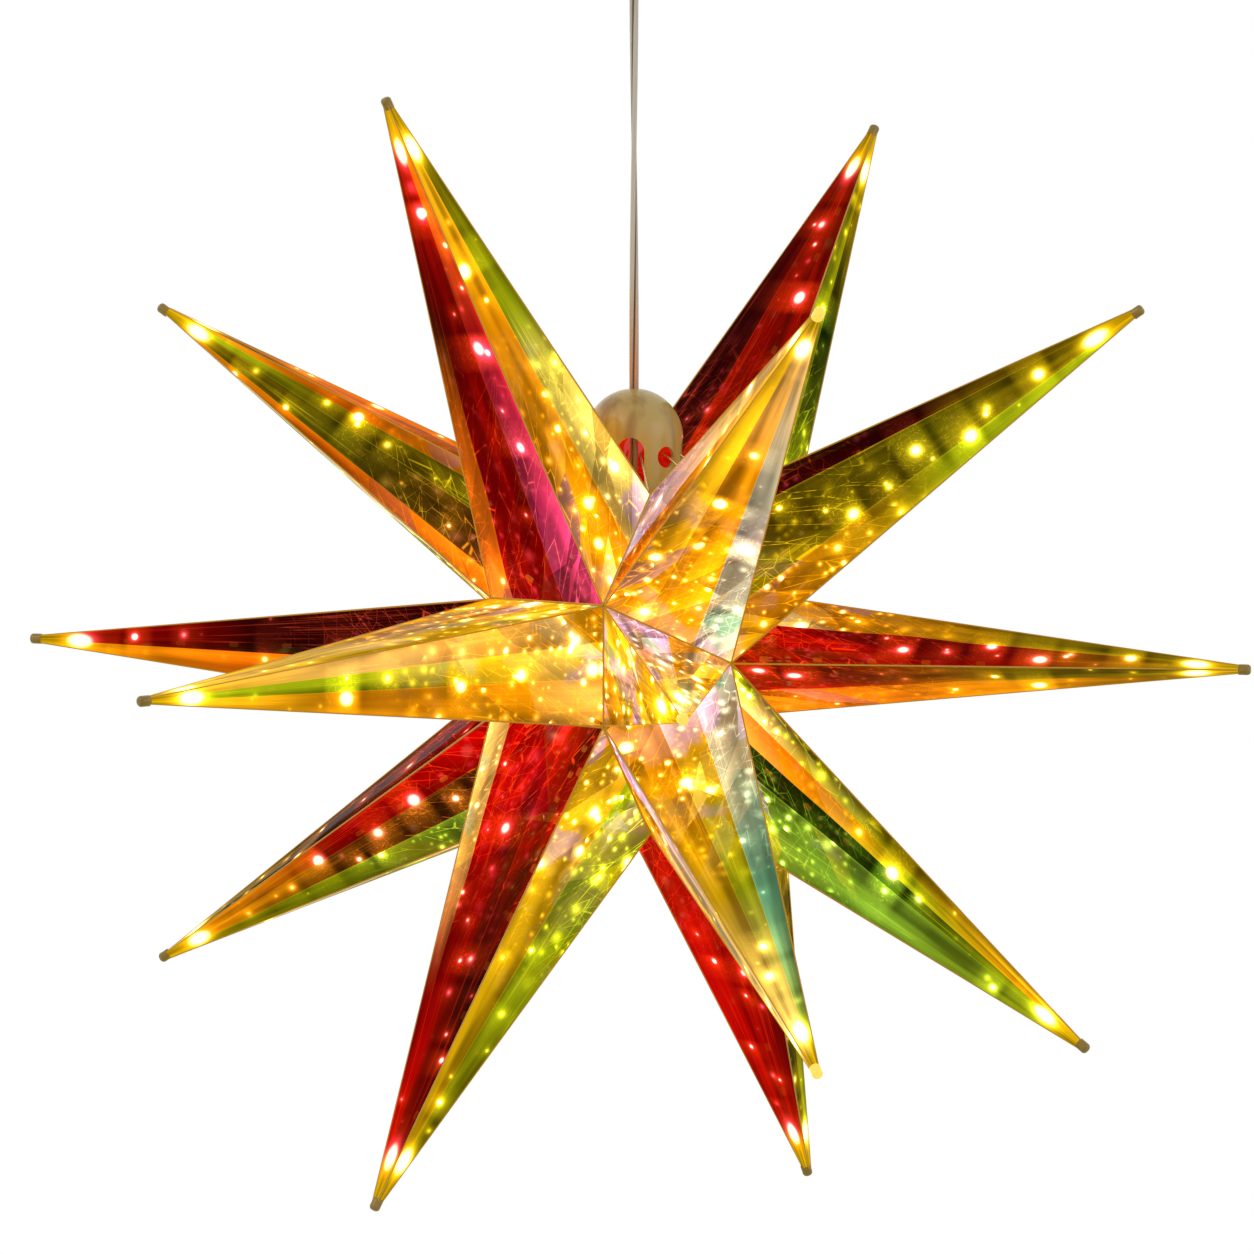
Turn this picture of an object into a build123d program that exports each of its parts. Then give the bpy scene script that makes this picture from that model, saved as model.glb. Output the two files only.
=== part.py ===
"""Hanging LED christmas star: eighteen hollow film spikes round a lit core, under a ceiling fitting.

Millimetres, +Z up. The origin is on the ceiling, at the middle of the bracket's two screw holes.
The front of the star faces -Y, and +X is to the right of someone who looks at that front.
"""
import os
from math import cos, hypot, radians, sin, sqrt, tan

from build123d import *

# Star: reach of a spike, and the corners of the core where the feet of the spikes meet
spike_reach = 305.0
star_drop = 372.0
shoulder_x = 41.0
shoulder_y = 58.0
shoulder_z = 29.0
waist_x = 69.0
rim_x = 47.5
rim_y = 33.0
rim_z = 82.0

# Directions of the spikes in degrees: turn from the front, and rise above the level
middle_side_turn = 52.0
upper_centre_rise = 59.0
upper_side_turn = 66.0
upper_side_rise = 34.0

# The limp film lets some spikes lean away from the regular direction: (turn, rise) in degrees
lean = {
    "front_centre_upper": (-8, 3),
    "front_centre_middle": (0, -1),
    "front_centre_lower": (1, 3),
    "front_left_upper": (4, 0),
    "front_left_middle": (0, 1),
    "front_left_lower": (2, 2),
    "front_right_middle": (-1, -1),
    "back_centre_upper": (-4, 0),
    "back_centre_middle": (0, -4),
    "back_centre_lower": (5, -5),
    "back_right_upper": (5, 0),
    "back_right_middle": (-8, 0),
    "back_right_lower": (-9, -1),
}

# Film of the spikes, and the clear cap on each tip
film = 0.4
seam_gap = 0.3
tip_inset = 2.2
apex_over_tip = 4.5
cap_cover = 3.5
cap_wall = 0.5
cap_fit = 0.15
cap_edge = 1.6

# Lamps on their wires, one wire in each spike
wire_d = 0.9
lamp_d = 2.4
lamp_length = 4.4
lamp_edge = 0.7
lamp_pitch = 27.0
lamps_per_spike = 9
last_lamp_inset = 23.0
wire_past_lamp = 2.0
lamp_fit = 0.05
hub_d = 26.0
supply_lead_d = 4.0

# Knots that tie the corners of the feet together, and the wires that hang the rim on the dome
knot_d = 5.0
tie_wire_d = 1.0
tie_hole_d = 1.6
tie_tail = 2.0
tie_height = 98.0

# Dome cap in the top opening
dome_d = 48.0
dome_wall = 1.6
dome_centre = 107.0
dome_skirt = 34.0
dome_slots = 4
slot_turn = 43.0
slot_width = 13.2
slot_top = 0.5
dome_hole_d = 10.4
dome_hole_drop = 9.0

# Hanging cord: twin clear lead between a ball stop in the ceiling fitting and a knot in the dome
cord_core_d = 2.5
cord_spacing = 2.1
cord_web = 1.2
cord_fit = 0.3
cord_knot_d = 12.0
swing_limit = 20.0
mouth_spare = 2.0

# Ceiling fitting
canopy_d = 90.0
canopy_height = 32.0
canopy_wall = 1.5
canopy_round = 13.0
bracket_width = 14.0
bracket_thickness = 2.0
bracket_clearance = 0.6
ear_drop = 12.0
mount_spacing = 56.0
mount_hole_d = 4.4
side_screw_d = 4.0
side_screw_head_d = 8.0
side_screw_head_height = 3.0
side_screw_fit = 0.15
side_screw_end = 3.0
driver_length = 36.0
driver_width = 22.0
driver_height = 13.0
driver_round = 2.0
grip_flange_d = 20.0
grip_flange_height = 3.0
grip_fit = 0.2
grip_wall = 1.7
grip_nut_width = 22.0
grip_nut_height = 4.0
stop_drop = 25.0
throat_depth = 4.4
driver_lead_d = 1.4
driver_lead_spacing = 4.0

running_gap = 0.3

os.makedirs("parts", exist_ok=True)

# Derived sizes of the cord and its ball stop
cord_half = (cord_spacing + cord_core_d) / 2
throat_r = cord_half + cord_fit + throat_depth * tan(radians(swing_limit))
stop_r = hypot(throat_r, throat_depth) - running_gap
stop_z = -stop_drop
star_z = -star_drop
star_centre = Vector(0, 0, star_z)
dome_z = star_z + dome_centre


def save(block, label):
    """Name a finished piece and write its STEP file."""
    block.part.label = label
    export_step(block.part, f"parts/{label}.step")


def heading(turn, rise):
    """Unit vector for a turn from the front (-Y) towards +X, and a rise above the level."""
    level = cos(radians(rise))
    return Vector(level * sin(radians(turn)), -level * cos(radians(turn)), sin(radians(rise)))


# Corners of the core, seen from the star's centre. side is -1 or 1 along X, face -1 or 1 along Y.
def shoulder(side, face, level):
    return Vector(side * shoulder_x, face * shoulder_y, level * shoulder_z)


def waist(side):
    return Vector(side * waist_x, 0, 0)


def rim(side, face, level):
    return Vector(side * rim_x, face * rim_y, level * rim_z)


def side_rim(side, level):
    """The rim's corner over the waist, in the plane of the side spike's other three corners."""
    corner = shoulder(1, -1, 1)
    normal = (waist(1) - corner).cross(rim(1, -1, 1) - corner)
    x = corner.X + (normal.Y * corner.Y - normal.Z * (rim_z - corner.Z)) / normal.X
    return Vector(side * x, 0, level * rim_z)


columns = {
    "front_left": (-1, -1),
    "front_centre": (0, -1),
    "front_right": (1, -1),
    "back_right": (1, 1),
    "back_centre": (0, 1),
    "back_left": (-1, 1),
}
rows = {"upper": 1, "middle": 0, "lower": -1}


def foot_corners(side, face, level):
    """Corners of one spike's foot, in order round it."""
    if side == 0 and level == 0:
        upper = [shoulder(-1, face, 1), shoulder(1, face, 1)]
        return upper + [shoulder(1, face, -1), shoulder(-1, face, -1)]
    if side == 0:
        inner = [shoulder(-1, face, level), shoulder(1, face, level)]
        return inner + [rim(1, face, level), rim(-1, face, level)]
    if level == 0:
        return [shoulder(side, face, 1), waist(side), shoulder(side, face, -1)]
    return [shoulder(side, face, level), waist(side), side_rim(side, level), rim(side, face, level)]


def spike_heading(name, side, face, level):
    """Direction of one spike's tip from the star's centre, with its own lean."""
    if side == 0:
        turn = 0 if face < 0 else 180
        rise = upper_centre_rise * level
    else:
        front_turn = middle_side_turn if level == 0 else upper_side_turn
        turn = side * (front_turn if face < 0 else 180 - front_turn)
        rise = upper_side_rise * level
    extra_turn, extra_rise = lean.get(name, (0, 0))
    return heading(turn + extra_turn, rise + extra_rise)


def shrink(points, centre, share):
    """Points drawn in towards a centre by a share of their distance."""
    return [centre + (point - centre) * (1 - share) for point in points]


def cut_edges(points, apex, direction, distance):
    """Where the edges from the foot to the apex cross a level square to the spike's axis."""
    level = [(distance - point.dot(direction)) / (apex - point).dot(direction) for point in points]
    return [point + (apex - point) * part for point, part in zip(points, level)]


def polygon(corners):
    """Flat face with the given corners, which are seen from the star's centre."""
    ring = [star_centre + corner for corner in corners]
    normal = (ring[1] - ring[0]).cross(ring[2] - ring[0])
    plane = Plane(origin=ring[0], x_dir=ring[1] - ring[0], z_dir=normal)
    with BuildSketch(plane) as outline:
        with BuildLine():
            Polyline(*[plane.to_local_coords(corner) for corner in ring], close=True)
        make_face()
    return outline.sketch.face()


tip_level = spike_reach - tip_inset
apex_level = tip_level + apex_over_tip
spikes = {}
for column, (side, face) in columns.items():
    for row, level in rows.items():
        name = f"{column}_{row}"
        spikes[name] = (foot_corners(side, face, level), spike_heading(name, side, face, level))

# Spikes: hollow pyramids of folded film, open at the foot. last_lamps holds the place of the lamp
# next to each tip, half way between the walls.
steepest_edge = 0
last_lamps = {}
for name, (corners, direction) in spikes.items():
    apex = direction * apex_level
    middle = sum(corners, Vector()) / len(corners)
    walls = list(zip(corners, corners[1:] + corners[:1]))
    normals = [(first - apex).cross(second - apex).normalized() for first, second in walls]
    nearest_wall = min(abs((middle - apex).dot(normal)) for normal in normals)
    outer_foot = shrink(corners, middle, seam_gap / nearest_wall)
    inner_foot = shrink(corners, middle, (seam_gap + film) / nearest_wall)
    inner_apex = apex + (middle - apex) * (film / nearest_wall)
    outer_end = cut_edges(outer_foot, apex, direction, tip_level)
    inner_end = cut_edges(inner_foot, inner_apex, direction, tip_level - apex_over_tip)
    with BuildPart() as spike:
        loft([polygon(outer_foot), polygon(outer_end)], ruled=True)
        loft([polygon(inner_foot), polygon(inner_end)], ruled=True, mode=Mode.SUBTRACT)
    save(spike, f"spike_{name}")
    middle_line = (apex - middle).normalized()
    last_lamps[name] = apex - middle_line * (last_lamp_inset + apex_level - spike_reach)
    for corner in outer_foot:
        height = apex_level - corner.dot(direction)
        steepest_edge = max(steepest_edge, (corner - apex + direction * height).length / height)

# Tip caps: clear rounded thimbles over the ends of the film, one group for each column
cap_bore_r = steepest_edge * (apex_over_tip + cap_cover) + cap_fit
cap_r = cap_bore_r + cap_wall
cap_mouth = tip_level - cap_cover
with BuildPart() as tip_cap:
    Cylinder(cap_r, spike_reach - cap_mouth, align=(Align.CENTER, Align.CENTER, Align.MIN))
    fillet(tip_cap.edges().sort_by(Axis.Z)[-1], cap_edge)
    bore_depth = tip_level + cap_fit - cap_mouth
    Cylinder(cap_bore_r, bore_depth, align=(Align.CENTER, Align.CENTER, Align.MIN), mode=Mode.SUBTRACT)

# One lamp: a clear bead moulded round the wire
with BuildPart() as lamp:
    Cylinder(lamp_d / 2, lamp_length)
    fillet(lamp.edges().filter_by(GeomType.CIRCLE), lamp_edge)
    Cylinder(wire_d / 2 + lamp_fit, lamp_length, mode=Mode.SUBTRACT)

# Caps, wires and lamps of each column's three spikes. A wire runs straight from the hub to its last lamp.
wire_start = hub_d / 2 + lamp_fit
wire_past_last = lamp_length / 2 + wire_past_lamp
align_up = (Align.CENTER, Align.CENTER, Align.MIN)
for column in columns:
    names = [f"{column}_{row}" for row in rows]
    headings = [spikes[name][1] for name in names]
    with BuildPart() as caps:
        with Locations(*[Plane(star_centre + way * cap_mouth, z_dir=way) for way in headings]):
            add(tip_cap.part)
    save(caps, f"tip_caps_{column}")
    with BuildPart() as wires:
        for name in names:
            way = last_lamps[name].normalized()
            with Locations(Plane(star_centre + way * wire_start, z_dir=way)):
                Cylinder(wire_d / 2, last_lamps[name].length + wire_past_last - wire_start, align=align_up)
    save(wires, f"light_wires_{column}")
    with BuildPart() as lamps:
        for name in names:
            way = last_lamps[name].normalized()
            places = [last_lamps[name] - way * step * lamp_pitch for step in range(lamps_per_spike)]
            with Locations(*[Plane(star_centre + place, z_dir=way) for place in places]):
                add(lamp.part)
    save(lamps, f"led_lamps_{column}")

# Corner knots: the film corners that meet at one point are tied there, just inside the core
def knot_centre(corner):
    """Centre of a knot that lies inside the core, clear of the planes of the feet at its corner."""
    inward = -corner.normalized()
    facing = []
    for corners, direction in spikes.values():
        if min((corner - other).length for other in corners) < seam_gap:
            normal = (corners[1] - corners[0]).cross(corners[2] - corners[0]).normalized()
            facing.append(abs(normal.dot(inward)))
    return star_centre + corner + inward * ((knot_d / 2 + running_gap) / min(facing))


def add_knots(name, corners):
    with BuildPart() as knots:
        with Locations(*[knot_centre(corner) for corner in corners]):
            Sphere(knot_d / 2)
    save(knots, name)


ends = (-1, 1)
add_knots("front_corner_knots", [shoulder(side, -1, level) for side in ends for level in ends])
add_knots("back_corner_knots", [shoulder(side, 1, level) for side in ends for level in ends])
add_knots("waist_knots", [waist(side) for side in ends])
top_rim = [rim(side, face, 1) for side in ends for face in ends] + [side_rim(side, 1) for side in ends]
low_rim = [rim(side, face, -1) for side in ends for face in ends] + [side_rim(side, -1) for side in ends]
add_knots("top_rim_knots", top_rim)
add_knots("low_rim_knots", low_rim)

# Light hub: the moulded splice at the star's centre, where the lamp wires start
supply_half = supply_lead_d / 2
hub_top = sqrt((hub_d / 2) ** 2 - supply_half**2)
with BuildPart() as light_hub:
    with Locations(star_centre):
        Sphere(hub_d / 2)
    split(bisect_by=Plane.XY.offset(star_z + hub_top), keep=Keep.BOTTOM)
save(light_hub, "light_hub")

# Cord knot: stops the cord under the dome's top and carries the star
dome_r = dome_d / 2
dome_inner_r = dome_r - dome_wall
cord_hole_r = cord_half + cord_fit
cord_knot_r = cord_knot_d / 2
hole_edge_z = dome_z + sqrt(dome_inner_r**2 - cord_hole_r**2)
cord_knot_z = hole_edge_z - sqrt((cord_knot_r + running_gap) ** 2 - cord_hole_r**2)
cord_low = cord_knot_z + sqrt(cord_knot_r**2 - cord_half**2)
with BuildPart() as cord_knot:
    with Locations((0, 0, cord_knot_z)):
        Sphere(cord_knot_r)
    split(bisect_by=Plane.XY.offset(cord_low), keep=Keep.BOTTOM)
save(cord_knot, "cord_knot")

# Supply lead: from below the knot down to the hub
supply_low = star_z + hub_top
supply_high = cord_knot_z - cord_knot_r - running_gap
with BuildPart() as supply_lead:
    with BuildSketch(Plane.XY.offset(supply_low)):
        Circle(supply_half)
    extrude(amount=supply_high - supply_low)
save(supply_lead, "supply_lead")

# Hanger ties: wires from holes in the dome's skirt to the knots of the top rim
tie_ends = [knot_centre(corner) for corner in top_rim]
tie_planes = []
tie_lengths = []
for end in tie_ends:
    outward = Vector(end.X, end.Y, 0).normalized()
    start = outward * dome_r + Vector(0, 0, star_z + tie_height)
    tie_planes.append(Plane(start, z_dir=end - start))
    tie_lengths.append((end - start).length - knot_d / 2)
with BuildPart() as hanger_ties:
    for plane, length in zip(tie_planes, tie_lengths):
        with Locations(plane.offset(-dome_wall - tie_tail)):
            Cylinder(tie_wire_d / 2, length + dome_wall + tie_tail, align=align_up)
save(hanger_ties, "hanger_ties")

# Dome cap: half ball on a short skirt, with arched slots and round holes by turns
slot_step = 360 / dome_slots
with BuildPart() as dome_cap:
    with BuildSketch(Plane.XZ) as dome_profile:
        with BuildLine():
            skirt_z = dome_z - dome_skirt
            Line((dome_inner_r, skirt_z), (dome_r, skirt_z))
            Line((dome_r, skirt_z), (dome_r, dome_z))
            CenterArc((0, dome_z), dome_r, 0, 90)
            Line((0, dome_z + dome_r), (0, dome_z + dome_inner_r))
            CenterArc((0, dome_z), dome_inner_r, 90, -90)
            Line((dome_inner_r, dome_z), (dome_inner_r, skirt_z))
        make_face()
    revolve(axis=Axis.Z)
    with Locations((0, 0, dome_z + dome_r)):
        Cylinder(cord_hole_r, dome_r, mode=Mode.SUBTRACT)
    for step in range(dome_slots):
        slot_way = heading(slot_turn + step * slot_step, 0)
        slot_plane = Plane((0, 0, dome_z), x_dir=Vector(0, 0, 1).cross(slot_way), z_dir=slot_way)
        with BuildSketch(slot_plane):
            arch_z = slot_top - slot_width / 2
            with Locations((0, arch_z)):
                Circle(slot_width / 2)
            with Locations((0, arch_z)):
                Rectangle(slot_width, dome_skirt + arch_z, align=(Align.CENTER, Align.MAX))
        extrude(amount=dome_d, mode=Mode.SUBTRACT)
        hole_way = heading(slot_turn + (step + 0.5) * slot_step, 0)
        with Locations(Plane(Vector(0, 0, dome_z - dome_hole_drop), z_dir=hole_way)):
            Cylinder(dome_hole_d / 2, dome_d, align=align_up, mode=Mode.SUBTRACT)
    for plane in tie_planes:
        with Locations(plane):
            Cylinder(tie_hole_d / 2, dome_r / 2, mode=Mode.SUBTRACT)
save(dome_cap, "dome_cap")

# Hanging cord: two clear cores side by side, straight between the ball stop and the knot
cord_high = stop_z - sqrt(stop_r**2 - cord_half**2)
with BuildPart() as hanging_cord:
    with BuildSketch(Plane.XY.offset(cord_low)):
        with GridLocations(cord_spacing, 0, 2, 1):
            Circle(cord_core_d / 2)
        Rectangle(cord_spacing, cord_web)
    extrude(amount=cord_high - cord_low)
save(hanging_cord, "hanging_cord")
print("hanging cord", round(cord_high - cord_low, 1), "mm long")

# Ball stop: crimped on the cord's upper end, free to roll in the grip's seat
with BuildPart() as cord_stop:
    with Locations((0, 0, stop_z)):
        Sphere(stop_r)
    split(bisect_by=Plane.XY.offset(cord_high), keep=Keep.TOP)
save(cord_stop, "cord_stop")

# Ceiling canopy: spun cup, open against the ceiling
canopy_r = canopy_d / 2
seat_r = stop_r + running_gap
grip_barrel_r = seat_r + grip_wall
side_screw_z = -bracket_thickness - ear_drop / 2
with BuildPart() as ceiling_canopy:
    Cylinder(canopy_r, canopy_height, align=(Align.CENTER, Align.CENTER, Align.MAX))
    fillet(ceiling_canopy.edges().sort_by(Axis.Z)[0], canopy_round)
    offset(amount=-canopy_wall, openings=ceiling_canopy.faces().sort_by(Axis.Z)[-1])
    with Locations((0, 0, -canopy_height)):
        Cylinder(grip_barrel_r + grip_fit, canopy_height / 2, mode=Mode.SUBTRACT)
    with Locations(Plane((0, 0, side_screw_z), z_dir=(1, 0, 0))):
        Cylinder(side_screw_d / 2 + side_screw_fit, canopy_d * 2, mode=Mode.SUBTRACT)
save(ceiling_canopy, "ceiling_canopy")

# Bracket: strap screwed to the ceiling, with an ear bent down at each end for the canopy's screws
canopy_inner_r = canopy_r - canopy_wall
ear_face = sqrt(canopy_inner_r**2 - (bracket_width / 2) ** 2) - bracket_clearance
with BuildPart() as canopy_bracket:
    with BuildSketch(Plane.XZ) as strap:
        with Locations((0, 0)):
            Rectangle(2 * ear_face, bracket_thickness, align=(Align.CENTER, Align.MAX))
        for side in ends:
            ear_align = Align.MAX if side > 0 else Align.MIN
            with Locations((side * ear_face, 0)):
                Rectangle(bracket_thickness, bracket_thickness + ear_drop, align=(ear_align, Align.MAX))
    extrude(amount=bracket_width / 2, both=True)
    with GridLocations(mount_spacing, 0, 2, 1):
        Cylinder(mount_hole_d / 2, bracket_thickness * 4, mode=Mode.SUBTRACT)
    with Locations(Plane((0, 0, side_screw_z), z_dir=(1, 0, 0))):
        Cylinder(side_screw_d / 2 + side_screw_fit, canopy_d * 2, mode=Mode.SUBTRACT)
save(canopy_bracket, "canopy_bracket")

# Canopy screws: thumb screws through the canopy's side into the ears
screw_inner = ear_face - bracket_thickness - side_screw_end
with BuildPart() as canopy_screws:
    for side in ends:
        with Locations(Plane((side * screw_inner, 0, side_screw_z), z_dir=(side, 0, 0))):
            Cylinder(side_screw_d / 2, canopy_r + running_gap - screw_inner, align=align_up)
        with Locations(Plane((side * (canopy_r + running_gap), 0, side_screw_z), z_dir=(side, 0, 0))):
            Cylinder(side_screw_head_d / 2, side_screw_head_height, align=align_up)
save(canopy_screws, "canopy_screws")

# Driver: the small power supply, fixed under the bracket
driver_low = -bracket_thickness - driver_height
with BuildPart() as led_driver:
    with Locations((0, 0, -bracket_thickness)):
        Box(driver_width, driver_length, driver_height, align=(Align.CENTER, Align.CENTER, Align.MAX))
    fillet(led_driver.edges().filter_by(Axis.Z), driver_round)
    fillet(led_driver.faces().sort_by(Axis.Z)[0].edges(), driver_round / 2)
save(led_driver, "led_driver")

# Driver leads: from the driver down to the ball stop
lead_offset = driver_lead_spacing / 2
lead_low = stop_z + stop_r + running_gap
with BuildPart() as driver_leads:
    with BuildSketch(Plane.XY.offset(lead_low)):
        with GridLocations(driver_lead_spacing, 0, 2, 1):
            Circle(driver_lead_d / 2)
    extrude(amount=driver_low - lead_low)
save(driver_leads, "driver_leads")

# Cord grip: flanged bush with a round seat for the ball stop and a mouth that lets the cord swing
grip_low = -canopy_height - grip_flange_height
grip_high = stop_z + stop_r / 2
mouth_r = throat_r + (stop_z - throat_depth - grip_low) * tan(radians(swing_limit + mouth_spare))
with BuildPart() as cord_grip:
    with Locations((0, 0, grip_low)):
        Cylinder(grip_flange_d / 2, grip_flange_height, align=align_up)
        Cylinder(grip_barrel_r, grip_high - grip_low, align=align_up)
    with Locations((0, 0, stop_z)):
        Sphere(seat_r, mode=Mode.SUBTRACT)
        Cylinder(seat_r, canopy_height, align=align_up, mode=Mode.SUBTRACT)
    with Locations((0, 0, grip_low)):
        Cone(mouth_r, throat_r, stop_z - throat_depth - grip_low, align=align_up, mode=Mode.SUBTRACT)
    fillet(cord_grip.faces().sort_by(Axis.Z)[0].outer_wire().edges(), grip_flange_height / 3)
save(cord_grip, "cord_grip")

# Grip nut: clamps the grip to the canopy's floor from inside
with BuildPart() as grip_nut:
    with BuildSketch(Plane.XY.offset(canopy_wall - canopy_height)):
        RegularPolygon(grip_nut_width / 2, 6, major_radius=False)
        Circle(grip_barrel_r + grip_fit, mode=Mode.SUBTRACT)
    extrude(amount=grip_nut_height)
save(grip_nut, "grip_nut")
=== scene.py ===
import math

import bmesh
import bpy
from mathutils import Matrix, Vector, noise


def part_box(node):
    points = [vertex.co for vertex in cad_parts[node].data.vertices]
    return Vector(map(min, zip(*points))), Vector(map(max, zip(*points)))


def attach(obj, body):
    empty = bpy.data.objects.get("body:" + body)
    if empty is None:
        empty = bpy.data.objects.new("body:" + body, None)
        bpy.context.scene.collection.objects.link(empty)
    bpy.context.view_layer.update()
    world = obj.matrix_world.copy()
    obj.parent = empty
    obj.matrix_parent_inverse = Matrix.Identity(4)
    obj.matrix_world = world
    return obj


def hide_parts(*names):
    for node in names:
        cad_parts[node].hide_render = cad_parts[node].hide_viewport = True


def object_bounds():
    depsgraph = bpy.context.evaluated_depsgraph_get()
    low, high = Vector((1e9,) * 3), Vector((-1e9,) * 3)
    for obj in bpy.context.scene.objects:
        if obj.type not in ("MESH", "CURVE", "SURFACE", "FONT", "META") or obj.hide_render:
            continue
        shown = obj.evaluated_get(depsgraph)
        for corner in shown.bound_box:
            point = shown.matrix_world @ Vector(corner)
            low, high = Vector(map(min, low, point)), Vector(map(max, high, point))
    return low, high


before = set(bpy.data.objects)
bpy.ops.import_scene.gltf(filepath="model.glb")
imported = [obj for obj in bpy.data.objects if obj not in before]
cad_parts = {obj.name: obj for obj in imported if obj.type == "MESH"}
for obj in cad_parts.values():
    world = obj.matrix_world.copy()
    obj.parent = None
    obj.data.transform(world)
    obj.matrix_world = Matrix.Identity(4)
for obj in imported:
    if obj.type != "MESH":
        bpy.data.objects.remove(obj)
cad_low, cad_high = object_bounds()


# Ceiling bracket: a strap of zinc plated steel, screwed to the ceiling through its two round holes.
# Its ends are bent down, and take the screws that hold the canopy.
def start_finish(name):
    """A new material with its node tree and its Principled shader."""
    material = bpy.data.materials.new(name)
    material.use_nodes = True
    return material, material.node_tree, material.node_tree.nodes["Principled BSDF"]


def connect(tree, value, socket):
    """Link an output to a socket, or set the socket to a plain value."""
    if isinstance(value, bpy.types.NodeSocket):
        tree.links.new(value, socket)
    else:
        socket.default_value = value


def calc(tree, operation, *values):
    """One Math node on outputs and numbers."""
    node = tree.nodes.new("ShaderNodeMath")
    node.operation = operation
    for value, socket in zip(values, node.inputs):
        connect(tree, value, socket)
    return node.outputs[0]


def ramp(tree, value, low, high, to_low=0.0, to_high=1.0):
    """A value between two limits, eased into a new range."""
    node = tree.nodes.new("ShaderNodeMapRange")
    node.interpolation_type = "SMOOTHSTEP"
    for number, socket in zip((value, low, high, to_low, to_high), node.inputs):
        connect(tree, number, socket)
    return node.outputs[0]


def mix(tree, share, first, second):
    """A colour between two colours."""
    node = tree.nodes.new("ShaderNodeMix")
    node.data_type = "RGBA"
    for value, socket in zip((share, first, second), (node.inputs[0], node.inputs[6], node.inputs[7])):
        connect(tree, value, socket)
    return node.outputs[2]


def paint(red, green, blue):
    """A colour as the eye reads it, 0 to 255, as the shader's linear colour."""
    parts = [part / 255 for part in (red, green, blue)]
    return tuple(p / 12.92 if p < 0.04045 else ((p + 0.055) / 1.055) ** 2.4 for p in parts) + (1.0,)


def mottle_group():
    """Soft uneven patches in a surface, and the fine grain of its skin."""
    group = bpy.data.node_groups.new("surface_mottle", "ShaderNodeTree")
    for name, start in (("Patch Scale", 60.0), ("Grain Scale", 900.0)):
        entry = group.interface.new_socket(name, in_out="INPUT", socket_type="NodeSocketFloat")
        entry.default_value = start
    group.interface.new_socket("Patches", in_out="OUTPUT", socket_type="NodeSocketFloat")
    group.interface.new_socket("Grain", in_out="OUTPUT", socket_type="NodeSocketFloat")
    taken = group.nodes.new("NodeGroupInput")
    given = group.nodes.new("NodeGroupOutput")
    place = group.nodes.new("ShaderNodeTexCoord")
    for index, detail in enumerate((3.0, 2.0)):
        texture = group.nodes.new("ShaderNodeTexNoise")
        texture.inputs["Detail"].default_value = detail
        group.links.new(place.outputs["Object"], texture.inputs["Vector"])
        group.links.new(taken.outputs[index], texture.inputs["Scale"])
        group.links.new(texture.outputs["Fac"], given.inputs[index])
    return group


surface_mottle = mottle_group()


def mottled_finish(name, first, second, rough, patch=60.0, grain=900.0, grain_depth=0.00002, metal=0.0):
    """A finish between two colours in soft patches, with a fine grain in its gloss and skin."""
    material, tree, shader = start_finish(name)
    mottle = tree.nodes.new("ShaderNodeGroup")
    mottle.node_tree = surface_mottle
    mottle.inputs["Patch Scale"].default_value = patch
    mottle.inputs["Grain Scale"].default_value = grain
    connect(tree, mix(tree, mottle.outputs["Patches"], first, second), shader.inputs["Base Color"])
    connect(tree, ramp(tree, mottle.outputs["Patches"], 0.3, 0.7, *rough), shader.inputs["Roughness"])
    bump = tree.nodes.new("ShaderNodeBump")
    bump.inputs["Distance"].default_value = grain_depth
    connect(tree, mottle.outputs["Grain"], bump.inputs["Height"])
    connect(tree, bump.outputs["Normal"], shader.inputs["Normal"])
    shader.inputs["Metallic"].default_value = metal
    return material, tree, shader


def dress(node, material):
    """Give a CAD node its finish."""
    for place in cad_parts[node].material_slots:
        place.material = material


zinc, _, _ = mottled_finish(
    "zinc_plate", paint(176, 178, 180), paint(214, 212, 206), (0.28, 0.46), patch=140.0, metal=1.0)
dress("canopy_bracket", zinc)


# LED driver: the power supply in a white moulded case, fixed under the bracket.
# Its two clear leads go down to the stop at the cord's end.
case_plastic, _, _ = mottled_finish(
    "driver_case", paint(226, 225, 220), paint(238, 237, 232), (0.42, 0.55),
    grain=1600.0, grain_depth=0.00003)
dress("led_driver", case_plastic)
lead_plastic, _, lead_shader = mottled_finish(
    "clear_lead", paint(196, 150, 96), paint(232, 220, 196), (0.1, 0.2), patch=300.0)
lead_shader.inputs["Coat Weight"].default_value = 0.6
dress("driver_leads", lead_plastic)


# Canopy: a spun steel cup with white powder coat, which hides the bracket and the driver.
# Two plated thumb screws hold it, with knurled heads.
powder_coat, _, _ = mottled_finish(
    "powder_coat", paint(228, 226, 220), paint(236, 234, 228), (0.34, 0.42),
    grain=1100.0, grain_depth=0.00004)
dress("ceiling_canopy", powder_coat)
screw_plate, screw_tree, screw_shader = mottled_finish(
    "screw_plate", paint(190, 188, 182), paint(220, 216, 208), (0.22, 0.36), metal=1.0)
knurls = 36
knurl_depth = 0.0002
screw_low, screw_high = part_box("canopy_screws")
screw_level = (screw_low.z + screw_high.z) / 2
screw_place = screw_tree.nodes.new("ShaderNodeTexCoord")
screw_parts = screw_tree.nodes.new("ShaderNodeSeparateXYZ")
connect(screw_tree, screw_place.outputs["Object"], screw_parts.inputs[0])
above_axis = calc(screw_tree, "SUBTRACT", screw_parts.outputs["Z"], screw_level)
knurl_turn = calc(screw_tree, "ARCTAN2", screw_parts.outputs["Y"], above_axis)
knurl_height = calc(screw_tree, "SINE", calc(screw_tree, "MULTIPLY", knurl_turn, knurls))
knurl_bump = screw_tree.nodes.new("ShaderNodeBump")
knurl_bump.inputs["Distance"].default_value = knurl_depth
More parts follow.
